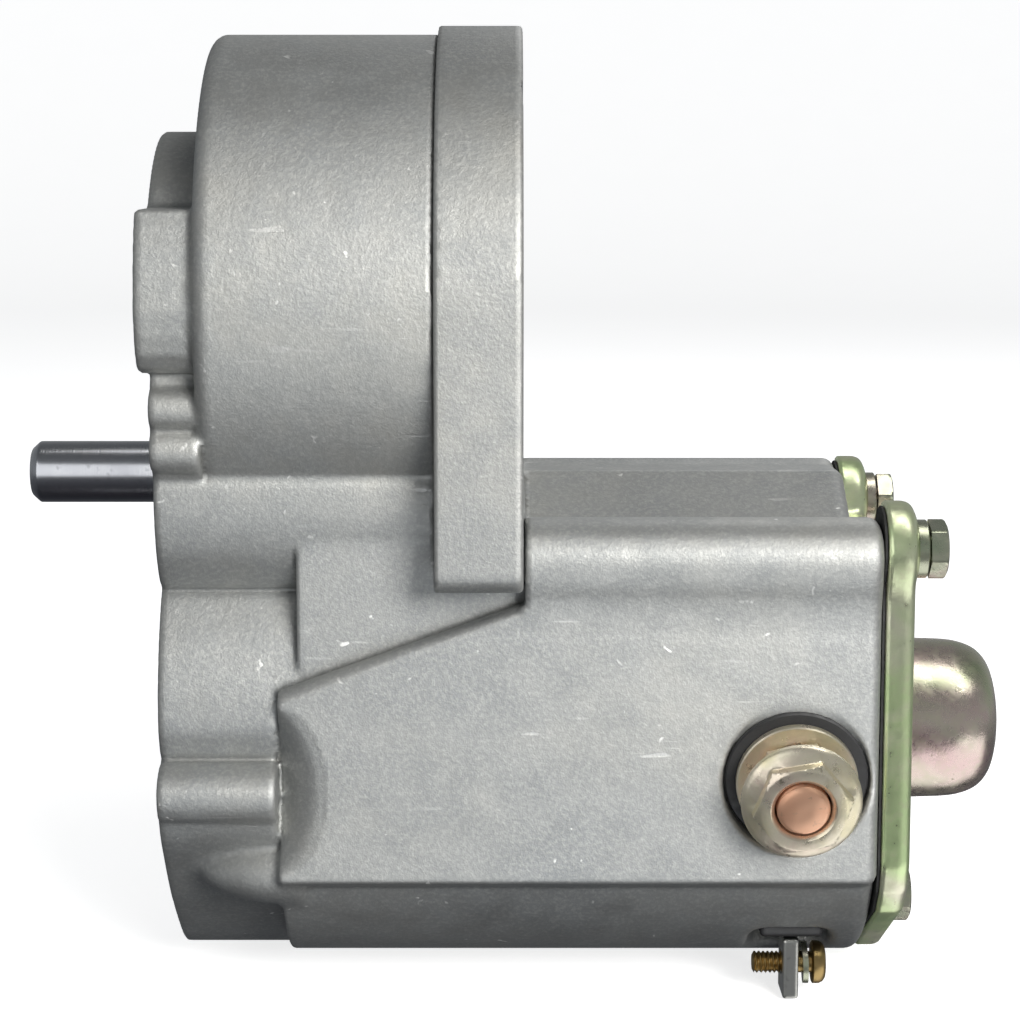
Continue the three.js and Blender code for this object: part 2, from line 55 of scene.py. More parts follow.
# ------------------------------------------------------------------ signed distance helpers
def smin(a, b, k):
    h = np.maximum(k - np.abs(a - b), 0) / k
    return np.minimum(a, b) - h * h * (k * 0.25)
def smax(a, b, k):
    return -smin(-a, -b, k)
def circle(y, z, cy, cz, r):
    return np.sqrt((y - cy) ** 2 + (z - cz) ** 2) - r
def extr(d2, x, x0, x1, r=0.0):
    w1 = d2 + r
    w2 = np.abs(x - (x0 + x1) / 2) - (x1 - x0) / 2 + r
    return np.minimum(np.maximum(w1, w2), 0) + np.sqrt(np.maximum(w1, 0) ** 2 + np.maximum(w2, 0) ** 2) - r
def boxd(x, y, z, x0, x1, y0, y1, z0, z1, r=0.0):
    qx = np.abs(x - (x0 + x1) / 2) - (x1 - x0) / 2 + r
    qy = np.abs(y - (y0 + y1) / 2) - (y1 - y0) / 2 + r
    qz = np.abs(z - (z0 + z1) / 2) - (z1 - z0) / 2 + r
    return (np.minimum(np.maximum(np.maximum(qx, qy), qz), 0)
            + np.sqrt(np.maximum(qx, 0) ** 2 + np.maximum(qy, 0) ** 2 + np.maximum(qz, 0) ** 2) - r)
def poly_sdf(px, py, pts):
    n = len(pts)
    d = (px - pts[0][0]) ** 2 + (py - pts[0][1]) ** 2
    inside = np.zeros(px.shape, bool)
    for i in range(n):
        ax, ay = pts[i]; bx, by = pts[i - 1]
        ex, ey = bx - ax, by - ay
        wx, wy = px - ax, py - ay
        t = np.clip((wx * ex + wy * ey) / max(ex * ex + ey * ey, 1e-12), 0, 1)
        d = np.minimum(d, (wx - ex * t) ** 2 + (wy - ey * t) ** 2)
        inside ^= ((ay > py) != (by > py)) & (px < (bx - ax) * (py - ay) / ((by - ay) if by != ay else 1e-12) + ax)
    return np.where(inside, -1, 1) * np.sqrt(d)
class Flat:
    """A 2-D distance field of an outline, tabulated and read back bilinearly."""
    def __init__(self, pts, step=0.3, pad=8):
        p = np.array(pts, float)
        self.lo = p.min(0) - pad; self.step = step
        n = np.ceil((p.max(0) + pad - self.lo) / step).astype(int) + 1
        a = self.lo[0] + np.arange(n[0]) * step; b = self.lo[1] + np.arange(n[1]) * step
        A, B = np.meshgrid(a, b, indexing="ij")
        self.t = poly_sdf(A, B, [tuple(q) for q in p]).astype(f32); self.n = n
    def __call__(self, y, z):
        y, z = np.broadcast_arrays(y, z)
        u = (y - self.lo[0]) / self.step; v = (z - self.lo[1]) / self.step
        uc = np.clip(u, 0, self.n[0] - 1.001); vc = np.clip(v, 0, self.n[1] - 1.001)
        i = uc.astype(int); j = vc.astype(int); fu = uc - i; fv = vc - j
        t = self.t
        r = ((t[i, j] * (1 - fu) + t[i + 1, j] * fu) * (1 - fv) + (t[i, j + 1] * (1 - fu) + t[i + 1, j + 1] * fu) * fv)
        return (r + (np.abs(u - uc) + np.abs(v - vc)) * self.step).astype(f32)
def spline(pts, n=5):
    """Catmull-Rom through pts (open)."""
    p = [np.array(q, float) for q in pts]
    p = [2 * p[0] - p[1]] + p + [2 * p[-1] - p[-2]]
    out = []
    for i in range(1, len(p) - 2):
        for k in range(n):
            t = k / n
            a, b, c, d = p[i - 1], p[i], p[i + 1], p[i + 2]
            out.append(0.5 * ((2 * b) + (c - a) * t + (2 * a - 5 * b + 4 * c - d) * t * t + (3 * b - a - 3 * c + d) * t ** 3))
    out.append(p[-2])
    return [tuple(q) for q in out]
def both(near):
    return near + [(-y, z) for y, z in reversed(near)]
def hull(pts):
    p = sorted(set(map(tuple, pts)))
    def half(q):
        h = []
        for c in q:
            while len(h) > 1 and (h[-1][0] - h[-2][0]) * (c[1] - h[-2][1]) - (h[-1][1] - h[-2][1]) * (c[0] - h[-2][0]) <= 0:
                h.pop()
            h.append(c)
        return h[:-1]
    return half(p) + half(p[::-1])
def circ(cy, cz, r, n=48):
    return [(cy + r * math.cos(2 * math.pi * i / n), cz + r * math.sin(2 * math.pi * i / n)) for i in range(n)]

def surface(name, field, lo, hi, h, newton=2):
    """Closed mesh of field < 0 by dual contouring on a grid of step h, then pulled onto the surface."""
    lo = np.array(lo, float); hi = np.array(hi, float)
    n = np.ceil((hi - lo) / h).astype(int) + 2
    ax = [(lo[i] - h * 0.5 + np.arange(n[i]) * h).astype(f32) for i in range(3)]
    F = np.empty(tuple(n), f32)
    for s in range(0, n[0], 24):      # in slabs, to keep memory low
        F[s:s + 24] = field(ax[0][s:s + 24, None, None], ax[1][None, :, None], ax[2][None, None, :])
    F[0] = F[-1] = 1; F[:, 0] = F[:, -1] = 1; F[:, :, 0] = F[:, :, -1] = 1
    S = F < 0
    m = n - 1
    cnt = np.zeros(tuple(m), np.int8)
    for a in (0, 1):
        for b in (0, 1):
            for c in (0, 1):
                cnt += S[a:a + m[0], b:b + m[1], c:c + m[2]]
    act = (cnt > 0) & (cnt < 8)
    I, J, K = np.nonzero(act)
    idx = np.full(tuple(m), -1, np.int32); idx[I, J, K] = np.arange(len(I))
    acc = np.zeros((len(I), 3)); num = np.zeros(len(I))
    cs = [(a, b, c) for a in (0, 1) for b in (0, 1) for c in (0, 1)]
    for p in cs:
        for d in range(3):
            if p[d]: continue
            q = list(p); q[d] = 1
            fa = F[I + p[0], J + p[1], K + p[2]]; fb = F[I + q[0], J + q[1], K + q[2]]
            cr = (fa < 0) != (fb < 0)
            t = np.where(cr, fa / np.where(cr, fa - fb, 1), 0)
            pos = np.zeros((len(I), 3)) + np.array(p, float)
            pos[:, d] += t
            acc += pos * cr[:, None]; num += cr
    V = acc / num[:, None] + np.stack([I, J, K], 1)
    V = V * h + np.array([ax[0][0], ax[1][0], ax[2][0]], float)
    quads = []
    for d in range(3):
        e, g = (d + 1) % 3, (d + 2) % 3
        sl = [slice(1, m[i]) for i in range(3)]; sl2 = list(sl)
        sl[d] = slice(0, m[d]); sl2[d] = slice(1, m[d] + 1)
        A = S[tuple(sl)]; B = S[tuple(sl2)]
        P = np.argwhere(A != B)
        base = P + 1; base[:, d] = P[:, d]
        ins = A[tuple(P.T)]
        off = np.zeros((4, 3), int)
        off[1][e] = -1; off[2][e] = -1; off[2][g] = -1; off[3][g] = -1
        q = np.stack([idx[tuple((base + o).T)] for o in off], 1)
        q[ins] = q[ins][:, ::-1] if False else q[ins]
        q[~ins] = q[~ins][:, ::-1]
        quads.append(q)
    Q = np.concatenate(quads)
    Q = Q[(Q >= 0).all(1)]
    for _ in range(newton):
        x, y, z = V[:, 0], V[:, 1], V[:, 2]
        e = 0.06
        f0 = field(x, y, z)
        g = np.stack([(field(x + e, y, z) - field(x - e, y, z)), (field(x, y + e, z) - field(x, y - e, z)), (field(x, y, z + e) - field(x, y, z - e))], 1) / (2 * e)
        g2 = np.maximum((g ** 2).sum(1), 0.2)
        step = np.clip(f0 / g2, -0.5 * h, 0.5 * h)
        V = V - g * step[:, None]
    return V, Q

MATS = {}
def obj_from(name, V, Qs, mat, body="housing", stands=(), slot=None, smooth=True, tf=None):
    V = np.asarray(V, float)
    if tf is not None:
        M = np.array(tf)
        V = V @ M[:3, :3].T + M[:3, 3]
    me = bpy.data.meshes.new(name)
    Vm = (V * 0.001).astype(np.float64)
    if isinstance(Qs, np.ndarray):
        me.vertices.add(len(Vm)); me.vertices.foreach_set("co", Vm.ravel())
        k = Qs.shape[1]
        me.loops.add(Qs.size); me.loops.foreach_set("vertex_index", Qs.ravel().astype(np.int32))
        me.polygons.add(len(Qs)); me.polygons.foreach_set("loop_start", np.arange(0, Qs.size, k, dtype=np.int32))
        me.update(calc_edges=True)
    else:
        me.from_pydata([tuple(v) for v in Vm], [], Qs)
    me.validate()
    if smooth:
        me.polygons.foreach_set("use_smooth", np.ones(len(me.polygons), bool))
    me.materials.append(MATS[mat])
    o = bpy.data.objects.new(name, me)
    bpy.context.scene.collection.objects.link(o)
    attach(o, body)
    if stands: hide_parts(*stands)
    return o
def fix_normals(o):
    bm = bmesh.new(); bm.from_mesh(o.data)
    bmesh.ops.recalc_face_normals(bm, faces=bm.faces)
    bm.to_mesh(o.data); bm.free()
def sharp(o, angle=35):
    """Split shading at real edges, as a smooth-by-angle."""
    bm = bmesh.new(); bm.from_mesh(o.data)
    for e in bm.edges:
        if len(e.link_faces) == 2:
            e.smooth = e.calc_face_angle(0) < math.radians(angle)
    bm.to_mesh(o.data); bm.free()
def grid_solid(rings, close_axis=True):
    """rings: list of (k, 3) arrays along a body; the ends are capped with fans. Quads between rings."""
    R = np.array(rings); n, k, _ = R.shape
    V = list(R.reshape(-1, 3)); F = []
    for i in range(n - 1):
        for j in range(k):
            a = i * k + j; b = i * k + (j + 1) % k
            F.append((a, b, b + k, a + k))
    c0 = len(V); V.append(R[0].mean(0)); c1 = len(V); V.append(R[-1].mean(0))
    for j in range(k):
        F.append((c0, (j + 1) % k, j))
        F.append((c1, (n - 1) * k + j, (n - 1) * k + (j + 1) % k))
    return V, F
def tube_solid(rings):
    """Closed loop of rings (profile closes on itself), for washers and nuts."""
    R = np.array(rings); n, k, _ = R.shape
    V = list(R.reshape(-1, 3)); F = []
    for i in range(n):
        for j in range(k):
            a = i * k + j; b = i * k + (j + 1) % k
            c = ((i + 1) % n) * k + (j + 1) % k; d = ((i + 1) % n) * k + j
            F.append((a, b, c, d))
    return V, F
ANG = lambda k: np.arange(k) * 2 * math.pi / k
def ring_at(x, r, k):
    a = ANG(k)
    r = r(a) if callable(r) else np.broadcast_to(np.asarray(r, float), (k,))
    return np.stack([np.full(k, float(x)) if np.isscalar(x) else x, r * np.cos(a), r * np.sin(a)], 1)
def lathe(name, prof, mat, k=64, tf=None, closed=False, **kw):
    rings = [ring_at(x, r, k) for x, r in prof]
    V, F = (tube_solid if closed else grid_solid)(rings)
    o = obj_from(name, V, F, mat, tf=tf, **kw)
    fix_normals(o); sharp(o, 32)
    return o
def place(y, z, x=0.0):
    return Matrix.Translation((x, y, z))
_d = Vector((0, -math.cos(TILT), -math.sin(TILT)))
_c = _d.cross(Vector((1, 0, 0)))
STUD = Matrix(((_d.x, 1, _c.x, STUD_X), (_d.y, 0, _c.y, -FACE_Y), (_d.z, 0, _c.z, STUD_Z), (0, 0, 0, 1)))

# ------------------------------------------------------------------ materials
def nodes_of(name):
    m = bpy.data.materials.new(name); m.use_nodes = True
    nt = m.node_tree; nt.nodes.clear()
    out = nt.nodes.new("ShaderNodeOutputMaterial"); b = nt.nodes.new("ShaderNodeBsdfPrincipled")
    nt.links.new(b.outputs[0], out.inputs[0])
    MATS[name] = m
    return m, nt, b
class T:
    """Short-hand for building node trees."""
    def __init__(s, nt): s.nt = nt
    def n(s, kind, **kw):
        x = s.nt.nodes.new("ShaderNode" + kind)
        for k, v in kw.items():
            if k.startswith("i_"):
                key = k[2:].replace("_", " ")
                x.inputs[key].default_value = v
            else: setattr(x, k, v)
        return x
    def l(s, a, b): s.nt.links.new(a, b)
    def coord(s):
        return s.n("TexCoord").outputs["Object"]
    def mapped(s, scale, rot=(0, 0, 0)):
        m = s.n("Mapping"); s.l(s.coord(), m.inputs[0]); m.inputs["Scale"].default_value = scale; m.inputs["Rotation"].default_value = rot
        return m.outputs[0]
    def noise(s, scale, detail=3, rough=0.55, vec=None, dist=0.0):
        x = s.n("TexNoise"); x.inputs["Scale"].default_value = scale; x.inputs["Detail"].default_value = detail
        x.inputs["Roughness"].default_value = rough; x.inputs["Distortion"].default_value = dist
        s.l(vec if vec is not None else s.coord(), x.inputs["Vector"])
        return x.outputs["Fac"]
    def ramp(s, fac, stops, mode="LINEAR"):
        r = s.n("ValToRGB"); cr = r.color_ramp; cr.interpolation = mode
        while len(cr.elements) < len(stops): cr.elements.new(0.5)
        for e, (p, c) in zip(cr.elements, stops):
            e.position = p; e.color = c if len(c) == 4 else (*c, 1)
        s.l(fac, r.inputs[0]); return r.outputs[0]
    def val(s, fac, a, b, lo=0.0, hi=1.0):
        m = s.n("MapRange"); m.inputs["From Min"].default_value = a; m.inputs["From Max"].default_value = b
        m.inputs["To Min"].default_value = lo; m.inputs["To Max"].default_value = hi
        s.l(fac, m.inputs["Value"]); return m.outputs[0]
    def mix(s, fac, a, b, mode="MIX"):
        m = s.n("Mix", data_type="RGBA", blend_type=mode)
        if isinstance(fac, (int, float)): m.inputs[0].default_value = fac
        else: s.l(fac, m.inputs[0])
        for v, i in ((a, 6), (b, 7)):
            if isinstance(v, tuple): m.inputs[i].default_value = v if len(v) == 4 else (*v, 1)
            else: s.l(v, m.inputs[i])
        return m.outputs[2]
    def math(s, op, a, b=None):
        m = s.n("Math", operation=op)
        for v, i in ((a, 0), (b, 1)):
            if v is None: continue
            if isinstance(v, (int, float)): m.inputs[i].default_value = v
            else: s.l(v, m.inputs[i])
        return m.outputs[0]
    def bump(s, h, dist, strength=1.0, normal=None):
        b = s.n("Bump"); b.inputs["Distance"].default_value = dist; b.inputs["Strength"].default_value = strength
        s.l(h, b.inputs["Height"])
        if normal is not None: s.l(normal, b.inputs["Normal"])
        return b.outputs[0]

def cast_material(name, tone=1.0):
    m, nt, b = nodes_of(name); t = T(nt)
    big = t.noise(22, 4, 0.6); mid = t.noise(160, 4, 0.6); fine = t.noise(1500, 2, 0.6); grain = t.noise(3600, 1, 0.5)
    col = t.ramp(big, [(0.30, (0.335 * tone, 0.345 * tone, 0.345 * tone)), (0.52, (0.39 * tone, 0.395 * tone, 0.385 * tone)), (0.75, (0.45 * tone, 0.445 * tone, 0.415 * tone))])
    col = t.mix(t.val(mid, 0.35, 0.7, 0.0, 0.55), col, (0.31 * tone, 0.325 * tone, 0.33 * tone))
    col = t.mix(t.val(fine, 0.45, 0.75, 0.0, 0.5), col, (0.55 * tone, 0.55 * tone, 0.53 * tone))
    # pale nicks where the skin is chipped
    nick = t.noise(420, 2, 0.5, dist=0.4)
    nickm = t.math("MULTIPLY", t.val(nick, 0.715, 0.76), t.val(t.noise(60, 2), 0.42, 0.6))
    col = t.mix(nickm, col, (0.86, 0.86, 0.84))
    # handling scratches in three directions
    scr = None
    for i, rot in enumerate(((0, 0.5, 0.2), (0.3, -0.9, 0.1), (0.1, 0.95, 0.0))):
        v = t.mapped((70 + 15 * i, 500, 800 - 120 * i), rot)
        s1 = t.val(t.noise(1.0, 1, 0.4, vec=v), 0.75, 0.80)
        scr = s1 if scr is None else t.math("MAXIMUM", scr, s1)
    scr = t.math("MULTIPLY", scr, t.val(t.noise(45, 2), 0.48, 0.62))
    col = t.mix(t.math("MULTIPLY", scr, 0.42), col, (0.72, 0.72, 0.70))
    g = t.n("NewGeometry")
    edge = t.val(g.outputs["Pointiness"], 0.515, 0.57)
    col = t.mix(t.math("MULTIPLY", edge, 0.35), col, (0.62, 0.62, 0.60))
    # painted shade: the colour darkens in crevices and hollows, where shade falls
    painted_crevice_shade = t.val(g.outputs["Pointiness"], 0.485, 0.44)
    col = t.mix(t.math("MULTIPLY", painted_crevice_shade, 0.45), col, (0.13, 0.13, 0.12))
    t.l(col, b.inputs["Base Color"])
    b.inputs["Metallic"].default_value = 0.82
    t.l(t.math("ADD", t.val(mid, 0.3, 0.7, 0.50, 0.62), t.math("MULTIPLY", scr, -0.12)), b.inputs["Roughness"])
    hgt = t.math("ADD", t.math("MULTIPLY", fine, 0.8), t.math("ADD", t.math("MULTIPLY", grain, 0.5), t.math("MULTIPLY", t.math("ADD", scr, nickm), -0.5)))
    b1 = t.bump(hgt, 0.00010, 0.55)
    t.l(t.bump(mid, 0.00035, 0.35, b1), b.inputs["Normal"])
    return m
def steel_material(name, c0, c1, rough, metallic=1.0, rings=None, aniso=0.0):
    m, nt, b = nodes_of(name); t = T(nt)
    n1 = t.noise(90, 3); n2 = t.noise(900, 2)
    col = t.mix(t.val(n1, 0.3, 0.7), c0, c1)
    col = t.mix(t.val(n2, 0.62, 0.75, 0, 0.35), col, tuple(0.45 * v for v in c0))
    t.l(col, b.inputs["Base Color"]); b.inputs["Metallic"].default_value = metallic
    t.l(t.val(n1, 0.25, 0.75, rough * 0.8, rough * 1.25), b.inputs["Roughness"])
    if rings:
        v = t.mapped(rings); r = t.noise(1.0, 2, 0.5, vec=v)
        t.l(t.bump(r, 0.00003, 0.5), b.inputs["Normal"])
    else:
        t.l(t.bump(n2, 0.00004, 0.4), b.inputs["Normal"])
    b.inputs["Anisotropic"].default_value = aniso
    return m
def zinc_material(name, stops, rough=0.30, scale=55, bump=0.00008, metallic=0.92):
    m, nt, b = nodes_of(name); t = T(nt)
    n1 = t.noise(scale, 3, 0.6, dist=0.6); n2 = t.noise(520, 3, 0.6); n3 = t.noise(2200, 2)
    col = t.ramp(n1, stops)
    col = t.mix(t.val(n2, 0.5, 0.72, 0.0, 0.4), col, (0.72, 0.70, 0.50))
    col = t.mix(t.val(n2, 0.34, 0.26, 0.0, 0.55), col, (0.16, 0.15, 0.07))
    t.l(col, b.inputs["Base Color"]); b.inputs["Metallic"].default_value = metallic
    t.l(t.val(n2, 0.3, 0.7, rough * 0.8, rough * 1.35), b.inputs["Roughness"])
    b.inputs["Coat Weight"].default_value = 0.25; b.inputs["Coat Roughness"].default_value = 0.12
    t.l(t.bump(n3, bump * 0.5, 0.35, t.bump(n2, bump, 0.5)), b.inputs["Normal"])
    return m
def dull_material(name, c, rough=0.6, bump=0.00005, scale=900):
    m, nt, b = nodes_of(name); t = T(nt)
    n1 = t.noise(scale, 3); n2 = t.noise(70, 3)
    col = t.mix(t.val(n2, 0.35, 0.7, 0, 0.5), c, tuple(v * 1.7 + 0.01 for v in c))
    t.l(col, b.inputs["Base Color"]); t.l(t.val(n1, 0.3, 0.7, rough * 0.85, min(1, rough * 1.2)), b.inputs["Roughness"])
    t.l(t.bump(n1, bump, 0.6), b.inputs["Normal"])
    return m

cast_material("cast")
cast_material("cast_bell", 0.93)
steel_material("shaft", (0.60, 0.61, 0.63), (0.50, 0.51, 0.54), 0.20, rings=(2600, 3, 3))
steel_material("bright", (0.60, 0.60, 0.60), (0.46, 0.47, 0.47), 0.30)
steel_material("blade", (0.66, 0.66, 0.62), (0.50, 0.50, 0.46), 0.34)
steel_material("darksteel", (0.17, 0.175, 0.18), (0.12, 0.125, 0.13), 0.42, 0.9)
steel_material("brass", (0.55, 0.40, 0.17), (0.42, 0.29, 0.12), 0.34)
steel_material("copper", (1.0, 0.62, 0.42), (0.95, 0.50, 0.31), 0.42, metallic=0.72)
GREEN, YEL, PINK, BEIGE = (0.50, 0.66, 0.33), (0.76, 0.74, 0.38), (0.80, 0.58, 0.52), (0.76, 0.73, 0.56)
zinc_material("zinc_plate", [(0.30, tuple(min(0.95, 1.28 * c) for c in GREEN)), (0.47, (0.76, 0.92, 0.50)), (0.60, tuple(min(0.95, 1.28 * c) for c in BEIGE)), (0.72, tuple(min(0.95, 1.22 * c) for c in PINK))], 0.34, 38, metallic=0.80)
zinc_material("zinc_dome", [(0.28, (0.54, 0.62, 0.38)), (0.45, (0.78, 0.68, 0.58)), (0.60, (0.78, 0.58, 0.56)), (0.75, (0.70, 0.62, 0.42))], 0.26, 48)
zinc_material("zinc_nut", [(0.30, (0.84, 0.76, 0.48)), (0.5, (0.92, 0.84, 0.66)), (0.68, (0.90, 0.74, 0.62)), (0.8, (0.78, 0.80, 0.52))], 0.30, 90, metallic=0.74)
zinc_material("zinc_screw", [(0.30, (0.45, 0.52, 0.36)), (0.5, (0.62, 0.62, 0.48)), (0.7, (0.60, 0.46, 0.42))], 0.28, 120)
dull_material("black", (0.018, 0.018, 0.019), 0.55)
dull_material("rubber", (0.012, 0.012, 0.012), 0.75)
dull_material("ferrite", (0.05, 0.048, 0.05), 0.6)
dull_material("carbon", (0.025, 0.025, 0.026), 0.6)
dull_material("enamel", (0.26, 0.075, 0.03), 0.32, 0.0001, 500)

SLOT_MAT = {"cast_aluminium": "cast", "yellow_zinc": "zinc_plate", "copper": "copper", "enamel_wire": "enamel", "rubber": "rubber",
            "black_plastic": "black", "ferrite": "ferrite", "carbon": "carbon", "brass": "brass", "dark_steel": "darksteel", "bright_steel": "bright"}
for s in frame["record"]["subparts"]:
    o = frame["nodes"][s["node"]]
    o.data.materials.clear(); o.data.materials.append(MATS[SLOT_MAT[s["material_slot"]]])

# ------------------------------------------------------------------ main casting
LOBE_SEGS = [
    [(-30, 24), (-33, 19.6), (-34.2, 17.0)],
    [(-34.2, 17.0), (-36.2, 15.6), (-36.9, 13.6), (-36.3, 11.8), (-34.7, 10.4)],
    [(-34.7, 10.4), (-36.0, 9.0), (-36.4, 7.0), (-35.4, 4.8), (-33.2, 3.7)],
    [(-32.1, 3.2), (-32.6, 1.4), (-32.5, -2.4), (-31.7, -6.2), (-30.1, -10.1), (-27.4, -13.7), (-25.0, -15.3)],
    [(-25.0, -15.3), (-26.5, -17), (-29.7, -22.6), (-31.7, -28.8), (-32.3, -32.5), (-32.2, -36.2), (-30.6, -40), (-29.6, -41.2)],
    [(-29.6, -41.2), (-31.8, -41.6), (-34.0, -42.7), (-35.3, -44.1), (-35.8, -45.6), (-35.6, -47.4), (-34.7, -49.3), (-33.5, -50.2)],
    [(-33.5, -50.2), (-31.4, -54), (-26.2, -60), (-22, -64.4), (-18.4, -67.6), (-12.6, -72.2), (-7, -76.2), (-3, -78.3), (-1, -78.7)]]
SMALL = [q for seg in LOBE_SEGS[:3] for q in spline(seg, 4)[:-1]] + [(-33.2, 3.7), (-31.6, 1)]
F_SMALL = Flat(both(SMALL), 0.25)
LOBES = [q for seg in LOBE_SEGS[3:] for q in spline(seg, 4)[:-1]] + [(-1, -78.7)]
F_LOBES = Flat(both(LOBES), 0.25)
UPPER = [q for seg in LOBE_SEGS[3:5] for q in spline(seg, 4)[:-1] if q[1] > -31]
F_UPPER = Flat(both(UPPER), 0.25)
EAR = [(-26, 43.4), (-35.9, 43.4), (-37.0, 41), (-38.1, 37.6), (-39.0, 33.2), (-39.45, 28.5), (-39.0, 24.9), (-38.1, 22), (-36.6, 19.9), (-34.8, 19.1), (-28, 18.9)]
F_EAR = Flat(both(EAR))
NECK = [(-28, 12), (-31.0, 5)] + spline([(-32.1, 3.2), (-32.6, 1.4), (-32.5, -2.4), (-31.9, -5.4)], 4) + [(-31.5, -6.8), (-31.4, -8.4), (-31.4, -44), (-20, -60)]
F_NECK = Flat(both(NECK), 0.25)
BOSS_NEAR = spline([(-22, -6.0), (-25.5, -4.2), (-29, -3.4), (-32.6, -3.7), (-35.4, -5.1), (-36.9, -7.2), (-37.3, -9.3), (-37.1, -11.4), (-36.7, -13.2), (-36.1, -15.0), (-35.65, -17.3), (-35.45, -20)], 4)
def barrel_outline():
    yb, r = FACE_Y, 37.8
    a0 = math.asin(min(1, 18.2 / r)); p = [(-19, -9.2), (-20.5, -7.6)] + BOSS_NEAR + [(-yb, -22), (-yb, SZ - 18.2)]
    for i in range(1, 48):
        a = math.pi + a0 + (math.pi - 2 * a0) * i / 48
        p.append((max(-yb, min(yb, r * math.cos(a))), SZ + r * math.sin(a)))
    return p + [(yb, SZ - 18.2), (yb, -15), (34.8, -8.3), (29, -1.9), (14, -1.5), (2, -8.2)]
F_BAR = Flat(barrel_outline(), 0.25)
F_COVER = Flat(hull(circ(0, 0, 27.05, 72) + circ(0, MZ, 22.35, 72)))
F_CTAB = Flat(hull(circ(0, -29.5, 6.75) + circ(0, -20, 6.75)))

def stud_xyz(x, y, z):
    """distance along the stud from the barrel's face, and radius from its axis"""
    dx, dy, dz = x - STUD_X, y + FACE_Y, z - STUD_Z
    s = dy * _d.y + dz * _d.z
    q = dy * _c.y + dz * _c.z
    return s, np.sqrt(dx * dx + q * q)
def cylx(x, y, z, cy, cz, r, x0, x1, e=0.0):
    return extr(circle(y, z, cy, cz, r), x, x0, x1, e)

def housing_field(x, y, z):
    drum = smax(extr(circle(y, z, 0, MZ, 41.3), x, 31, 84, 2.2), x - 66.6, 0.35)
    hub = extr(circle(y, z, 0, MZ, 26), x, 22.3, 44, 0.8)
    ears = extr(F_EAR(y, z), x, 22.3, 44, 0.8)
    front = smin(smin(drum, hub, 0.8), ears, 0.9)
    fl = F_LOBES(y, z)
    lob = np.minimum(extr(fl, x, 23.9, 42.1, 0.7), extr(fl + 4.6, x, 30, 46, 0.3))
    lob = np.minimum(lob, extr(F_UPPER(y, z), x, 23.9, 45.9, 0.8))
    lob = np.minimum(lob, extr(F_SMALL(y, z), x, 23.9, 31.5, 0.6))
    neck = smax(extr(F_NECK(y, z), x, 45.3, 90, 0.25), x - 66.6, 0.35)
    neck = np.minimum(neck, boxd(x, y, z, 60, 80.2, -31.4, 31.4, -44, -13.7, 0.3))
    # shallow scoop behind the lowest lobe
    edge = 42.4 + 7.4 * np.sqrt(np.maximum(1 - ((z + 45.0) / 13.0) ** 2, 0))
    roll = np.maximum(edge - x, 0)
    roll = 0.11 * roll * roll
    low = np.minimum(lob, smax(neck, (np.abs(y) - (FACE_Y - roll)) * 0.8, 0.3))
    body = smin(front, low, 0.7)
    b2 = smin(F_BAR(y, z), circle(y, z, 29, -8.3, 6.6), 2.4)
    bar = smax(extr(b2, x, 42.5, 140, 0.45), x - 134.3, 2.2)
    # the proud face of the barrel starts at a sloping shoulder with a narrow chamfer
    up = (x - 42.5) * -0.3407 + (z + 29.74) * 0.9401
    side = np.abs(y) - FACE_Y
    cut_up = smax(-up, x - 80.2, 0.6)
    bar = smax(bar, -cut_up, 0.35)
    bar = smax(bar, (up + side) * 0.7071 + 0.55 + 0.45 * np.clip((60 - x) / 20, 0, 1) - 40 * np.clip(x - 79.4, 0, 3), 0.5)
    bar = smax(bar, (np.abs(y) - (FACE_Y - roll)) * 0.8 - 3 * (roll < 1e-6), 0.4)
    body = smin(body, bar, 0.5)
    # cast fillet that climbs from the front section on to the foot of the barrel
    blob = (np.sqrt(((x - 44.5) / 15.5) ** 2 + ((np.abs(y) - 25.2) / 8.6) ** 2 + ((z + 59.4) / 5.6) ** 2) - 1.0) * 5.6
    body = smin(body, smax(blob, x - 46, 1.0), 1.2)
    web = boxd(x, y, z, 60, 80.2, -30, 30, -44, -1.4, 0.5)
    body = np.minimum(body, web)
    # hollows
    def cutd(a, c, k=0.5): return smax(a, -c, k)
    body = cutd(body, np.minimum(extr(F_COVER(y, z), x, 10, 28.5), extr(F_CTAB(y, z), x, 10, 28.5)), 0.7)
    body = cutd(body, np.minimum(cylx(x, y, z, 0, 0, 24, 20, 40.8), cylx(x, y, z, 0, MZ, 9.4, 20, 40.8)))
    body = cutd(body, np.minimum(cylx(x, y, z, 0, 0, 9.65, 38, 46.3), np.minimum(cylx(x, y, z, 0, MZ, 8.15, 38, 46.3), cylx(x, y, z, 0, MZ, 5, 38, 49))))
    body = cutd(body, cylx(x, y, z, 0, MZ, 35.5, 48, 70))
    body = cutd(body, cylx(x, y, z, 0, SZ, 28, 46.6, 140))
    for (cy, cz) in TAPS: body = cutd(body, cylx(x, y, z, cy, cz, 2.5, 10, 37))
    for (cy, cz) in COVER_SCREWS: body = cutd(body, cylx(x, y, z, cy, cz, 2.15, 10, 37))
    for (cy, cz) in BELL_SCREWS: body = cutd(body, cylx(x, y, z, cy, cz, 2.2, 57, 70))
    for (cy, cz) in CAP_SCREWS: body = cutd(body, cylx(x, y, z, cy, cz, 2.65, 122, 140))
    # battery terminal recess and signal terminal pocket
    s, r = stud_xyz(x, y, z)
    body = smax(body, -np.maximum(r - 11.25, -(s + 1.9)), 0.5)
    body = smax(body, -np.maximum(r - 7.0, -(s + 14)), 0.5)
    pocket = boxd(x, y, z, 116.0, 129.0, -25.6, -14.2, -95, -69.6, 3.0)
    body = smax(body, -pocket, 1.4)
    body = cutd(body, boxd(x, y, z, 117.2, 127.8, -23.9, -15.9, -95, -62, 0.5))
    return body

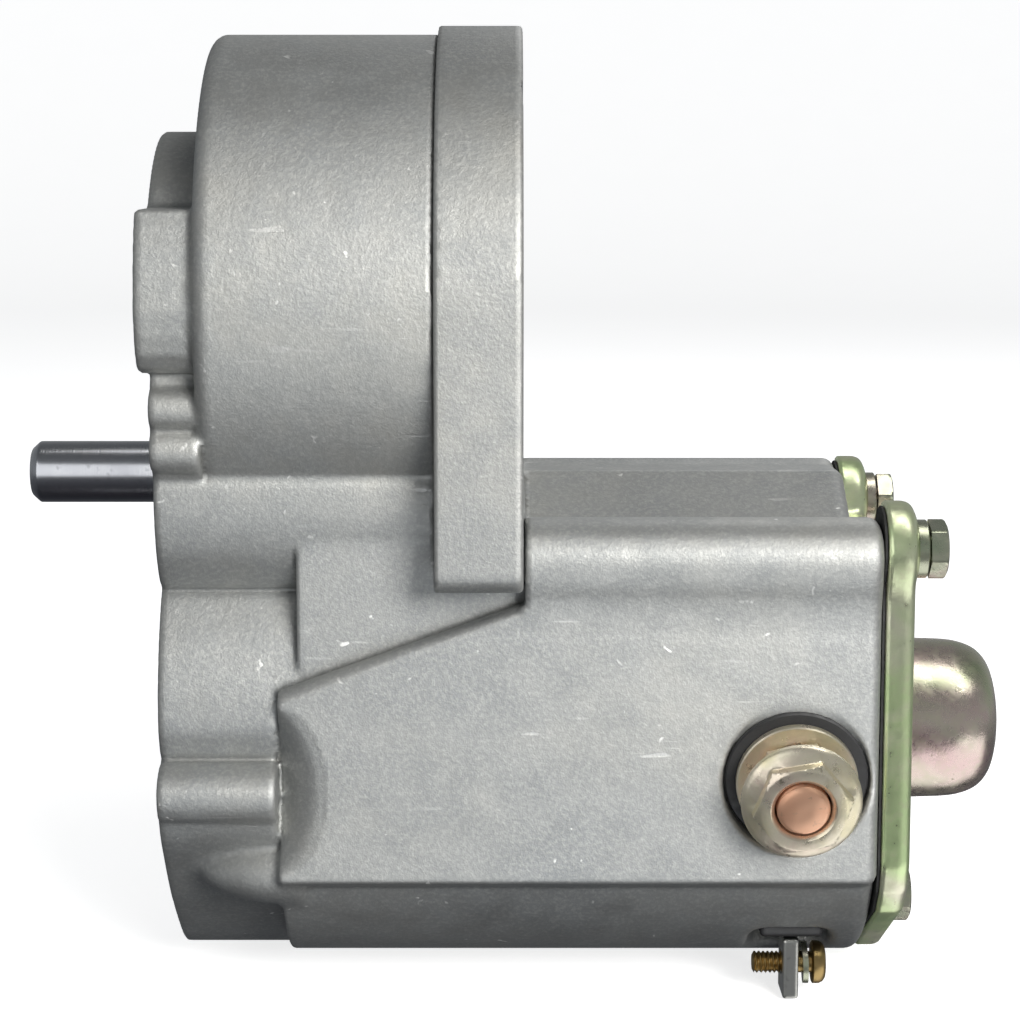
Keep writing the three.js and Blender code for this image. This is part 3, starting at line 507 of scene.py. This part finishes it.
H = 0.72
V, Q = surface("main_casting", housing_field, (21.5, -43, -80), (135.2, 43, 71.5), H)
casting = obj_from("main_casting", V, Q, "cast", stands=["main_housing"], slot="cast_aluminium")

# ------------------------------------------------------------------ end bell
BELL = [(42.7 * math.cos(a), MZ + 42.7 * math.sin(a)) for a in np.linspace(0, math.pi, 73)]
BELL += [(-39.7 + 3 * math.cos(a), -10.3 + 3 * math.sin(a)) for a in np.linspace(math.pi, 1.5 * math.pi, 7)]
BELL += [(39.7 + 3 * math.cos(a), -10.3 + 3 * math.sin(a)) for a in np.linspace(1.5 * math.pi, 2 * math.pi, 7)]
F_BELL = Flat(BELL)
F_BCUT = Flat([(-35.9, -30), (35.9, -30), (35.9, -8), (30, -0.8), (-30, -0.8), (-35.9, -8)])
def bell_field(x, y, z):
    b = smax(extr(F_BELL(y, z), x, 60, 79.9, 0.7), 66.66 - x, 0.35)
    c = np.minimum(np.minimum(F_BCUT(y, z), circle(y, z, -29, -8.3, 7.0)), circle(y, z, 29, -8.3, 7.0))
    b = smax(b, -c, 0.7)
    b = smax(b, -cylx(x, y, z, 0, MZ, 28, 50, 73.3), 0.5)
    b = smax(b, -cylx(x, y, z, 0, MZ, 8.15, 50, 79.0), 0.4)
    # shallow spokes and bearing boss pressed into the rear face
    rr = np.sqrt(y * y + (z - MZ) ** 2)
    dish = np.maximum(np.abs(rr - 21.5) - 8.0, -(x - 78.9))
    th = np.arctan2(z - MZ, y)
    spoke = rr * np.abs(np.sin(th * 3)) / 3 - 2.4
    dish = smax(dish, -spoke, 1.5)
    b = smax(b, -dish, 0.9)
    for cy, cz in BELL_SCREWS:
        r = circle(y, z, cy, cz, 0)
        cone = np.maximum(r - np.maximum(2.3, 2.3 + (x - 77.6)), -(x - 55))
        b = smax(b, -cone, 0.3)
    return b
V, Q = surface("end_bell", bell_field, (66.0, -43.5, -14), (80.6, 43.5, 72.4), H * 0.97)
obj_from("end_bell", V, Q, "cast_bell", stands=["motor_end_bell"], slot="cast_aluminium")

# ------------------------------------------------------------------ gear chamber cover
F_COV = Flat(hull(circ(0, 0, 26.7, 72) + circ(0, MZ, 22, 72)))
F_CT2 = Flat(hull(circ(0, -29.5, 6.4) + circ(0, -20, 6.4)))
def cover_field(x, y, z):
    o2 = np.minimum(F_COV(y, z), F_CT2(y, z))
    b = extr(o2, x, 26.0, 28.6, 0.35)
    b = smin(b, cylx(x, y, z, 0, 0, 12.4, 27, 34.2), 0.8)
    rr = np.sqrt(y * y + z * z)
    rib = np.maximum(np.abs(rr - 11.0) - 1.2, np.abs(x - 25.85) - 0.75)
    b = smin(b, rib, 0.8)
    b = smax(b, -cylx(x, y, z, 0, 0, 9.6, 28.4, 40), 0.3)
    b = smax(b, -cylx(x, y, z, 0, 0, 7.4, 10, 40), 0.3)
    for cy, cz in COVER_SCREWS: b = smax(b, -cylx(x, y, z, cy, cz, 2.3, 10, 40), 0.2)
    return b
V, Q = surface("gear_cover", cover_field, (24.4, -27.5, -37), (35, 27.5, 52), H * 0.75)
obj_from("gear_cover", V, Q, "cast_bell", stands=["front_cover"], slot="cast_aluminium")

# ------------------------------------------------------------------ zinc-plated switch cover
CAP = [(-34.5, -8.3), (-34.5, -57), (-33.2, -61.4), (-29.6, -65.6), (-6, -78.1)]
CAP = CAP + [(-y, z) for y, z in reversed(CAP)] + [(23, -9.4), (14, -11.6), (-14, -11.6), (-23, -9.4)]
F_CAP = Flat(CAP)
DOME = [(130, 13.2)] + spline([(144, 13.15), (149.3, 12.97), (152.2, 12.5), (154.6, 11.45), (156.3, 9.6), (157.25, 7.0), (157.7, 4.2), (157.9, 1.5), (157.9, 0)], 4)
DOME = DOME + [(a, -b) for a, b in reversed(DOME[:-1])]
F_DOME = Flat(DOME, 0.2)
def cap2d(y, z):
    a = smin(F_CAP(y, z), circle(y, z, -29, -8.3, 7.4), 2.0)
    a = smin(a, circle(y, z, 29, -8.3, 7.4), 2.0)
    return smin(a, circle(y, z, 0, -71, 7.4), 2.5)
def cap_field(x, y, z):
    a = cap2d(y, z)
    plate = smax(extr(a, x, 134.95, 145, 0.25), x - 139.5, 2.2)
    # the pressed rim stands round a slightly sunk field on the outside
    plate = smax(plate, -np.maximum(a + 4.6, -(x - 138.6)), 1.6)
    rr = np.sqrt(y * y + (z - SZ) ** 2)
    dome = F_DOME(x, rr)
    b = smin(plate, smax(dome, -(x - 137), 0.5), 2.6)
    for cy, cz in CAP_SCREWS:
        b = smin(b, extr(circle(y, z, cy, cz, 5.6), x, 136, 139.5, 0.4), 0.8)
    b = smax(b, -cylx(x, y, z, 0, SZ, 11.4, 120, 155, 3.0), 0.4)
    for cy, cz in CAP_SCREWS: b = smax(b, -cylx(x, y, z, cy, cz, 2.8, 120, 150), 0.2)
    return b
V, Q = surface("switch_cap", cap_field, (134.6, -37.2, -79.4), (158.5, 37.2, -0.2), H * 0.75)
capo = obj_from("switch_cap", V, Q, "zinc_plate", stands=["switch_cover"], slot="yellow_zinc")
capo.data.materials.append(MATS["zinc_dome"])
mi = np.zeros(len(capo.data.polygons), np.int32)
cen = np.zeros(len(capo.data.polygons) * 3); capo.data.polygons.foreach_get("center", cen); cen = cen.reshape(-1, 3) * 1000
mi[(cen[:, 0] > 139.7) & (np.hypot(cen[:, 1], cen[:, 2] - SZ) < 17)] = 1
capo.data.polygons.foreach_set("material_index", mi)

# ------------------------------------------------------------------ turned and threaded pieces
def thread(r0, pitch, depth, x, k, phase=0.0):
    a = ANG(k)
    p = (x / pitch + phase - a / (2 * math.pi)) % 1.0
    tri = np.abs(p * 2 - 1)                       # 0 at the root's middle
    prof = np.clip((tri - 0.12) / 0.76, 0, 1)
    return r0 - depth * (1 - prof)
def hex_r(af, rot=0.0):
    def f(a):
        b = (a - rot) % (math.pi / 3) - math.pi / 6
        return af / 2 / np.cos(b)
    return f
def hexed(af, rot, x, xtop, cone):
    """hexagon limited by a chamfer cone whose radius falls away towards xtop"""
    h = hex_r(af, rot)
    return lambda a: np.minimum(h(a), cone + (xtop - x) * 1.73)

# output shaft
lathe("shaft_ground", [(0.05, 0.0001), (0.05, 1.2), (0.9, 0.9), (1.6, 0.25), (1.61, 0.24), (0.9, 0.92), (0.06, 1.5), (0.0, 2.4), (0.0, 3.75), (0.12, 3.95), (1.15, 4.88), (1.4, 4.99), (1.8, 5.0), (24, 5.0), (45.6, 5.0), (46, 4.7)],
      "shaft", 96, body="output", stands=["output_shaft"], slot="bright_steel") if False else \
lathe("shaft_ground", [(1.3, 0.3), (0.3, 1.0), (0.0, 1.35), (0.0, 3.75), (0.12, 3.95), (1.15, 4.88), (1.4, 4.99), (1.8, 5.0), (12, 5.0), (24, 5.0), (45.6, 5.0), (46, 4.7)],
      "shaft", 96, body="output", stands=["output_shaft"], slot="bright_steel")

# battery stud: threaded copper, with its inner contact bar kept as a block joined below
def stud():
    k = 72; rings = [ring_at(-17, 3.6, k), ring_at(-16.6, 4.0, k), ring_at(0.0, 4.0, k)]
    for x in np.arange(0.2, 10.55, 0.11):
        rings.append(ring_at(x, thread(4.0, 1.25, 0.62, x, k), k))
    rings += [ring_at(10.75, 3.55, k), ring_at(11.0, 3.1, k), ring_at(11.0, 1.0, k)]
    V, F = grid_solid(rings)
    o = obj_from("terminal_stud", V, F, "copper", stands=["battery_stud"], slot="copper", tf=STUD)
    fix_normals(o); sharp(o, 50)
    bm = bmesh.new(); bmesh.ops.create_cube(bm, size=1.0)
    for v in bm.verts:
        v.co = Vector((116.6 + v.co.x * 4.8, -13.75 + v.co.y * 11.5, SZ + v.co.z * 10)) * 0.001
    bmesh.ops.bevel(bm, geom=bm.edges[:], offset=0.0005, segments=2, affect="EDGES")
    me = bpy.data.meshes.new("contact_bar"); bm.to_mesh(me); bm.free()
    me.materials.append(MATS["copper"])
    c = bpy.data.objects.new("contact_bar", me); bpy.context.scene.collection.objects.link(c)
    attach(c, "housing")
stud()
lathe("stud_bush", [(-6, 4.25), (-6, 6.7), (-1.75, 6.7), (-1.7, 10.8), (-1.5, 10.95), (-0.9, 10.95), (-0.7, 10.7), (-0.7, 4.25)], "black", 72, closed=True, tf=STUD, stands=["stud_insulator"], slot="black_plastic")
lathe("stud_flat_washer", [(-0.55, 4.35), (-0.6, 4.5), (-0.6, 9.1), (-0.45, 9.3), (0.7, 9.3), (0.9, 9.1), (0.9, 4.5), (0.85, 4.35)], "zinc_nut", 96, closed=True, tf=STUD, stands=["stud_washer"], slot="yellow_zinc")
def nut(name, node, x0, x1, flange):
    k = 144; rot = 0.175; R = []; h = hex_r(13.2, rot)
    def cone(x): return hexed(13.2, rot, x, x1, 6.45)
    if flange:
        for x, r in [(x0 + 0.02, 4.7), (x0, 8.4), (x0 + 0.05, 8.85), (x0 + 0.25, 9.12), (x0 + 1.0, 9.12), (x0 + 1.25, 8.95), (x0 + 1.6, 8.3)]: R.append(ring_at(x, r, k))
        R.append(ring_at(x0 + 1.95, lambda a: np.maximum(np.minimum(h(a) + 0.25, 7.66), 7.3), k))
        R.append(ring_at(x0 + 2.15, lambda a: np.minimum(h(a) + 0.06, 7.64), k))
        xs = np.linspace(x0 + 2.3, x1 - 0.08, 10)
    else:
        R += [ring_at(x0 + 0.02, 4.7, k), ring_at(x0, 6.4, k)]
        R += [ring_at(x0 + d, lambda a, d=d: np.minimum(h(a), 6.45 + 1.73 * d), k) for d in (0.1, 0.3, 0.5, 0.7)]
        xs = np.linspace(x0 + 0.9, x1 - 0.08, 10)
    for x in xs: R.append(ring_at(x, cone(x), k))
    R += [ring_at(x1, 6.3, k), ring_at(x1, 5.0, k), ring_at(x1 - 0.15, 4.75, k), ring_at(x1 - 0.65, 4.35, k)]
    for x in np.arange(x1 - 0.8, x0 + 0.4, -0.16): R.append(ring_at(x, thread(4.6, 1.25, 0.28, x, k), k))
    V, F = tube_solid(R)
    o = obj_from(name, V, F, "zinc_nut", stands=[node], slot="yellow_zinc", tf=STUD)
    fix_normals(o); sharp(o, 30)
nut("flange_nut", "stud_nut", 6.4, 10.5, True)
nut("clamp_nut", "stud_clamp_nut", 1.1, 6.2, False)

# hexagon-head screws with a cross recess, and their washers
def cross_depth(yy, zz, rot=0.4):
    c, s = math.cos(rot), math.sin(rot)
    u, v = yy * c + zz * s, -yy * s + zz * c
    arm = np.minimum(np.maximum(np.abs(u) - 0.45, np.abs(v) - 2.1), np.maximum(np.abs(v) - 0.45, np.abs(u) - 2.1))
    return np.clip(-arm / 0.25, 0, 1) * 1.3
def hex_screw(name, node, y, z, rot):
    k = 96; R = [ring_at(124, 1.9, k), ring_at(124.6, 2.4, k)]
    for x in np.arange(124.9, 139.0, 0.2): R.append(ring_at(x, thread(2.45, 0.8, 0.36, x, k), k))
    R += [ring_at(139.5, 2.4, k), ring_at(141.75, 2.4, k), ring_at(141.8, 3.9, k)]
    for x in (141.85, 142.1, 142.8, 143.4, 143.8, 144.1, 144.35): R.append(ring_at(x, hexed(8.0, rot, x, 144.6, 3.86), k))
    for r in (3.8, 3.4, 3.0, 2.7, 2.45, 2.25, 2.1, 1.9, 1.7, 1.45, 1.2, 0.95, 0.75, 0.6, 0.45, 0.3, 0.15):
        g = ring_at(144.55, r, k); g[:, 0] -= cross_depth(g[:, 1], g[:, 2], rot); R.append(g)
    V, F = grid_solid(R)
    o = obj_from(name, V, F, "zinc_screw", stands=[node], slot="yellow_zinc", tf=place(y, z))
    fix_normals(o); sharp(o, 30)
for i, (y, z) in enumerate(CAP_SCREWS):
    hex_screw(f"cap_screw_{i + 1}", f"cover_screw_{i + 1}", y, z, 0.30 + 0.5 * i)
    lathe(f"cap_washer_{i + 1}", [(139.85, 2.75), (139.8, 2.9), (139.8, 4.35), (139.95, 4.5), (141.35, 4.5), (141.5, 4.35), (141.5, 2.9), (141.45, 2.75)],
          "zinc_screw", 72, closed=True, tf=place(y, z), stands=[f"cover_washer_{i + 1}"], slot="yellow_zinc")
# countersunk end bell screws, button-head gear cover screws
def csk(name, node, y, z, i):
    k = 72; R = [ring_at(58, 1.6, k), ring_at(58.4, 2.0, k), ring_at(77.85, 2.0, k), ring_at(79.45, 3.62, k), ring_at(79.6, 3.6, k)]
    for r in (3.4, 3.0, 2.6, 2.3, 2.1, 1.9, 1.7, 1.45, 1.2, 0.95, 0.75, 0.6, 0.45, 0.3, 0.15):
        g = ring_at(79.6, r, k); g[:, 0] -= cross_depth(g[:, 1], g[:, 2], 0.3 + i); R.append(g)
    V, F = grid_solid(R)
    o = obj_from(name, V, F, "bright", stands=[node], slot="bright_steel", tf=place(y, z)); fix_normals(o); sharp(o, 30)
for i, (y, z) in enumerate(BELL_SCREWS): csk(f"bell_screw_{i + 1}", f"end_bell_screw_{i + 1}", y, z, i)
def button(name, node, y, z, i):
    k = 72; R = [ring_at(35.4, 1.6, k), ring_at(35.0, 2.0, k), ring_at(25.9, 2.0, k), ring_at(25.88, 3.4, k), ring_at(25.7, 3.5, k), ring_at(25.0, 3.45, k), ring_at(24.4, 3.1, k), ring_at(24.05, 2.5, k)]
    for r, x in ((2.2, 23.97), (2.0, 23.93), (1.8, 23.91), (1.5, 23.9), (1.2, 23.9), (0.95, 23.9), (0.75, 23.9), (0.6, 23.9), (0.45, 23.9), (0.3, 23.9), (0.15, 23.9)):
        g = ring_at(x, r, k); g[:, 0] += cross_depth(g[:, 1], g[:, 2], 0.3 + i); R.append(g)
    V, F = grid_solid(R)
    o = obj_from(name, V, F, "zinc_screw", stands=[node], slot="bright_steel", tf=place(y, z)); fix_normals(o); sharp(o, 30)
for i, (y, z) in enumerate(COVER_SCREWS): button(f"gear_cover_screw_{i + 1}", f"front_cover_screw_{i + 1}", y, z, i)

# ------------------------------------------------------------------ signal terminal
def blade_field(x, y, z):
    b = boxd(x, y, z, 121.2, 123.7, -23.6, -16.2, -81.6, -71.8, 0.45)
    b = smax(b, -cylx(x, y, z, -19.9, -76.6, 1.95, 110, 130), 0.25)
    return b
V, Q = surface("signal_blade", blade_field, (120.8, -24, -82), (124.1, -15.8, -71.4), 0.26)
obj_from("signal_blade", V, Q, "blade", stands=["signal_terminal"], slot="bright_steel")
def sig_screw():
    k = 64; R = [ring_at(116.6, 1.2, k), ring_at(116.9, 1.7, k)]
    for x in np.arange(117.0, 121.3, 0.09): R.append(ring_at(x, thread(1.75, 0.7, 0.32, x, k), k))
    R += [ring_at(121.4, 1.7, k), ring_at(126.0, 1.7, k), ring_at(126.1, 3.2, k), ring_at(126.25, 3.4, k), ring_at(127.2, 3.38, k), ring_at(127.8, 3.1, k), ring_at(128.15, 2.6, k)]
    for r in (2.4, 2.1, 1.8, 1.5, 1.2, 0.9, 0.6, 0.3, 0.1):
        g = ring_at(128.2, r, k); g[:, 0] -= np.clip((0.45 - np.abs(g[:, 1])) / 0.2, 0, 1) * 0.9; R.append(g)
    V, F = grid_solid(R)
    o = obj_from("signal_pan_screw", V, F, "brass", stands=["signal_screw"], slot="brass", tf=place(-19.9, -76.6)); fix_normals(o); sharp(o, 35)
sig_screw()
def spring_washer():
    k = 60; a = np.linspace(0.12, 2 * math.pi - 0.12, k); R = []
    for i, t in enumerate(a):
        xo = 124.15 + 0.75 * i / (k - 1)
        R.append(np.array([(xo, r * math.cos(t), r * math.sin(t)) for xo, r in ((xo, 1.95), (xo, 3.35), (xo + 0.85, 3.35), (xo + 0.85, 1.95))]))
    R = np.array(R); n = len(R); V = list(R.reshape(-1, 3)); F = []
    for i in range(n - 1):
        for j in range(4):
            b = i * 4 + j; c = i * 4 + (j + 1) % 4; F.append((b, c, c + 4, b + 4))
    F.append((0, 1, 2, 3)); F.append(((n - 1) * 4 + 3, (n - 1) * 4 + 2, (n - 1) * 4 + 1, (n - 1) * 4))
    o = obj_from("signal_lock_washer", V, F, "zinc_screw", stands=["signal_spring_washer"], slot="yellow_zinc", tf=place(-19.9, -76.6)); fix_normals(o); sharp(o, 35)
spring_washer()
def ins_field(x, y, z):
    return boxd(x, y, z, 117.5, 127.5, -23.6, -16.2, -71.5, -68.4, 0.8)
V, Q = surface("signal_bush", ins_field, (117, -24.1, -72), (128, -15.7, -68), 0.35)
obj_from("signal_bush", V, Q, "black", stands=["signal_insulator"], slot="black_plastic")

# ------------------------------------------------------------------ floor, light, camera
lowest = -0.0819
def stage_mesh():
    prof = [(0.0, 0.0), (0.6, 0.0), (1.2, 0.0), (1.8, 0.0)]
    prof += [(1.8 + 0.7 * math.sin(a), 0.7 - 0.7 * math.cos(a)) for a in np.linspace(0.15, math.pi / 2, 10)]
    prof += [(2.5, 1.5), (2.5, 2.6)]
    k = 96; V = []; F = []
    for r, z in prof:
        for j in range(k):
            a = 2 * math.pi * j / k; V.append((0.08 + r * math.cos(a), r * math.sin(a), lowest + z))
    for i in range(len(prof) - 1):
        for j in range(k): F.append((i * k + j, i * k + (j + 1) % k, (i + 1) * k + (j + 1) % k, (i + 1) * k + j))
    me = bpy.data.meshes.new("floor"); me.from_pydata(V, [], F)
    me.polygons.foreach_set("use_smooth", np.ones(len(me.polygons), bool))
    m, nt, b = nodes_of("floor_white"); t = T(nt)
    n = t.noise(30, 2)
    t.l(t.mix(t.val(n, 0.3, 0.7), (0.90, 0.90, 0.90), (0.92, 0.92, 0.92)), b.inputs["Base Color"])
    b.inputs["Roughness"].default_value = 0.9; b.inputs["Specular IOR Level"].default_value = 0.0
    b.inputs["Emission Color"].default_value = (1, 1, 1, 1); b.inputs["Emission Strength"].default_value = 0.72
    me.materials.append(m)
    o = bpy.data.objects.new("floor", me); bpy.context.scene.collection.objects.link(o)
    o.visible_diffuse = False; o.visible_glossy = False; o.visible_shadow = False
stage_mesh()

E = math.radians(8)
target = Vector((0.0779, 0.0, -0.0067))
cam_d = bpy.data.cameras.new("camera"); cam = bpy.data.objects.new("camera", cam_d)
bpy.context.scene.collection.objects.link(cam)
cam_d.sensor_width = 36; cam_d.lens = 2592 * 36 / 1024
cam.location = target + Vector((0, -0.425 * math.cos(E), 0.425 * math.sin(E)))
cam.rotation_mode = "QUATERNION"; cam.rotation_quaternion = (target - cam.location).to_track_quat("-Z", "Y")
cam_d.clip_start = 0.01; cam_d.clip_end = 20
bpy.context.scene.camera = cam

def area(name, az, el, dist, size, power, color=(1, 1, 1), at=target):
    d = bpy.data.lights.new(name, "AREA"); d.shape = "RECTANGLE"; d.size, d.size_y = size; d.energy = power; d.color = color
    o = bpy.data.objects.new(name, d); bpy.context.scene.collection.objects.link(o)
    a, e = math.radians(az), math.radians(el)
    v = Vector((math.sin(a) * math.cos(e), -math.cos(a) * math.cos(e), math.sin(e)))
    o.location = Vector(at) + v * dist
    o.rotation_mode = "QUATERNION"; o.rotation_quaternion = (-v).to_track_quat("-Z", "Y")
    return o
def linked(o, name, objs, state):
    c = bpy.data.collections.new(name)
    for q in objs: c.objects.link(q)
    for q in c.collection_objects: q.light_linking.link_state = state
    o.light_linking.receiver_collection = c
SHINY = [o for o in bpy.data.objects if o.type == "MESH" and any(m and m.name.startswith(("zinc", "shaft", "copper", "blade", "brass")) for m in o.data.materials)]
key = area("key", 27, 18, 0.95, (0.40, 0.36), 9.6, (1.0, 0.985, 0.955))
linked(key, "key_skips", SHINY, "EXCLUDE")
top = area("top_right", 55, 70, 1.0, (0.38, 1.1), 3.9, (1.0, 0.99, 0.96))
linked(top, "top_on", SHINY, "INCLUDE")
topc = area("top_cast", 30, 50, 1.0, (0.6, 0.6), 2.9, (1.0, 0.98, 0.94))
linked(topc, "top_cast_skips", SHINY, "EXCLUDE")
card = area("card_front", -32, 12, 0.8, (0.75, 0.66), 1.75)
linked(card, "card_front_on", SHINY, "INCLUDE")
low = area("card_low", 57, -52, 0.6, (0.62, 0.80), 1.75)
linked(low, "card_low_on", SHINY, "INCLUDE")
fill = area("fill", 8, -28, 1.1, (0.8, 0.5), 3.0, (0.94, 0.97, 1.0))
linked(fill, "fill_skips", SHINY, "EXCLUDE")
rim = area("rim", 160, 40, 1.2, (0.5, 0.5), 2.0)
linked(rim, "rim_skips", SHINY, "EXCLUDE")
w = bpy.data.worlds.new("studio"); bpy.context.scene.world = w; w.use_nodes = True
wt = T(w.node_tree)
sep = wt.n("SeparateXYZ"); wt.l(wt.n("TexCoord").outputs["Generated"], sep.inputs[0])
sky = wt.ramp(wt.val(sep.outputs["Z"], -1.0, 1.0), [(0.0, (0.02, 0.02, 0.025)), (0.36, (0.10, 0.105, 0.115)), (0.5, (0.30, 0.31, 0.32)), (0.62, (0.26, 0.27, 0.28)), (1.0, (0.09, 0.095, 0.10))])
wt.l(sky, w.node_tree.nodes["Background"].inputs[0])
w.node_tree.nodes["Background"].inputs[1].default_value = 1.0
vs = bpy.context.scene.view_settings
vs.view_transform = "Standard"; vs.look = "None"; vs.exposure = 0.0; vs.gamma = 1.0

bpy.context.view_layer.update()
